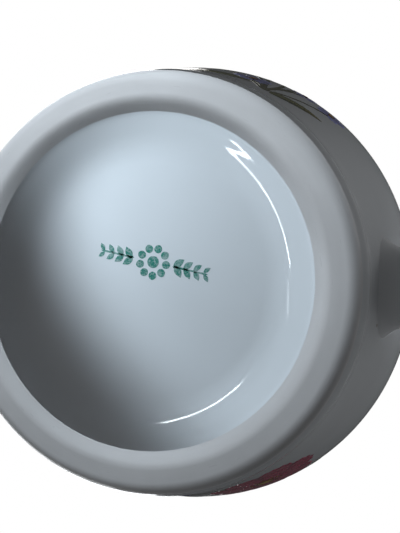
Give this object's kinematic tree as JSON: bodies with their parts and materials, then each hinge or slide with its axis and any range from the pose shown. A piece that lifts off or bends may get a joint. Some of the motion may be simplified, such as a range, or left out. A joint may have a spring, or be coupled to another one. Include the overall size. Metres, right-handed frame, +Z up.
{
  "type": "belly mug with ear handle",
  "caption": "White glazed porcelain belly mug with a broad bare foot ring, a recessed base, a luted ear handle and folk flower transfers.",
  "frame": {"origin": "centre of the foot ring, on the plane that the mug stands on", "axes": "+Z up along the body's axis, +X through the handle, +Y to the left of the handle seen from above with the handle pointing away"},
  "size_m": [0.1161, 0.087, 0.0922],
  "materials": {
    "bare_porcelain": "matt, polished smooth where it stands",
    "luting_slip": "matt",
    "white_glaze": "gloss, cool white",
    "crimson_print": "gloss on-glaze print",
    "violet_print": "gloss on-glaze print",
    "ochre_print": "gloss on-glaze print",
    "leaf_print": "gloss on-glaze print",
    "green_print": "satin print"
  },
  "bodies": {
    "root": {"mug_body": "bare_porcelain", "handle": "bare_porcelain", "upper_handle_joint": "luting_slip", "lower_handle_joint": "luting_slip", "outside_glaze": "white_glaze", "inside_glaze": "white_glaze", "foot_recess_glaze": "white_glaze", "handle_glaze": "white_glaze", "crimson_blooms": "crimson_print", "violet_flowers": "violet_print", "flower_centres": "ochre_print", "leaves": "leaf_print", "stems": "leaf_print", "base_ornament": "green_print"}
  },
  "joints": []
}
